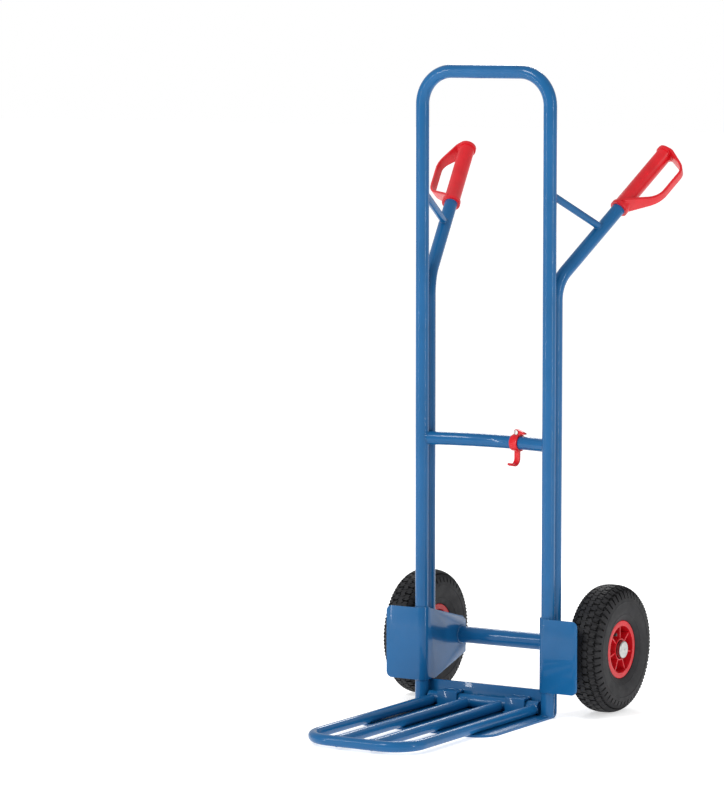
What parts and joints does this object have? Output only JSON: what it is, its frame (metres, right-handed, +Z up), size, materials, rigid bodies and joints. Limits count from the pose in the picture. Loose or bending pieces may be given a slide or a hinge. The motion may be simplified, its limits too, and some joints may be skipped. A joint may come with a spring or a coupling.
{
  "type": "hand truck",
  "caption": "Blue steel hand truck with a bent tube frame, folding load grille, toe plate, air-filled wheels and guarded red grips.",
  "frame": {"origin": "on the floor, midway between the wheels, in the plane of the two uprights", "axes": "+X to the right seen from the front, -Y towards the front where the toe plate and grille lie, +Z up"},
  "size_m": [0.5716, 0.8558, 1.3],
  "materials": {
    "blue_paint": "gloss",
    "grip_plastic": "satin",
    "rim_plastic": "satin",
    "hook_paint": "gloss",
    "zinc_steel": "satin",
    "bearing_steel": "satin",
    "tyre_rubber": "matt",
    "tube_rubber": "matt"
  },
  "bodies": {
    "frame": {"main_frame": "blue_paint", "cross_tube": "blue_paint", "handle_tube_left": "blue_paint", "handle_tube_right": "blue_paint", "handle_brace_left": "blue_paint", "handle_brace_right": "blue_paint", "toe_plate": "blue_paint", "hinge_strap_left": "blue_paint", "hinge_strap_right": "blue_paint", "guard_bracket_left": "blue_paint", "guard_bracket_right": "blue_paint", "axle_tube": "blue_paint", "grip_left": "grip_plastic", "grip_right": "grip_plastic", "axle_shaft": "zinc_steel", "inner_washer_left": "zinc_steel", "inner_washer_right": "zinc_steel", "outer_washer_left": "zinc_steel", "outer_washer_right": "zinc_steel", "axle_cap_left": "zinc_steel", "axle_cap_right": "zinc_steel", "axle_bush_left": "bearing_steel", "axle_bush_right": "bearing_steel"},
    "wheel_left": {"tyre_left": "tyre_rubber", "inner_tube_left": "tube_rubber", "valve_left": "tube_rubber", "rim_outer_left": "rim_plastic", "rim_inner_left": "rim_plastic", "rim_screws_left": "zinc_steel", "wheel_bearings_left": "bearing_steel"},
    "wheel_right": {"tyre_right": "tyre_rubber", "inner_tube_right": "tube_rubber", "valve_right": "tube_rubber", "rim_outer_right": "rim_plastic", "rim_inner_right": "rim_plastic", "rim_screws_right": "zinc_steel", "wheel_bearings_right": "bearing_steel"},
    "grille": {"grille_hoop": "blue_paint", "grille_bar_left": "blue_paint", "grille_bar_right": "blue_paint", "hinge_tube": "blue_paint", "hinge_tube_plugs": "blue_paint"},
    "hook": {"hook": "hook_paint", "hook_rivet": "zinc_steel"}
  },
  "joints": [
    {"name": "wheel_left_spin", "type": "hinge", "parent": "frame", "child": "wheel_left", "pos_m": [-0.214, 0.132, 0.129], "axis": [1, 0, 0], "continuous": true},
    {"name": "wheel_right_spin", "type": "hinge", "parent": "frame", "child": "wheel_right", "pos_m": [0.214, 0.132, 0.129], "axis": [1, 0, 0], "continuous": true},
    {"name": "grille_fold", "type": "hinge", "parent": "frame", "child": "grille", "pos_m": [0, 0.00225, 0.01875], "axis": [-1, 0, 0], "range_deg": [0, 90]},
    {"name": "hook_swing", "type": "hinge", "parent": "frame", "child": "hook", "pos_m": [0.062, 0.02277, 0.547], "axis": [-0.9907, 0.1359, 0], "range_deg": [-60, 19.7]}
  ]
}
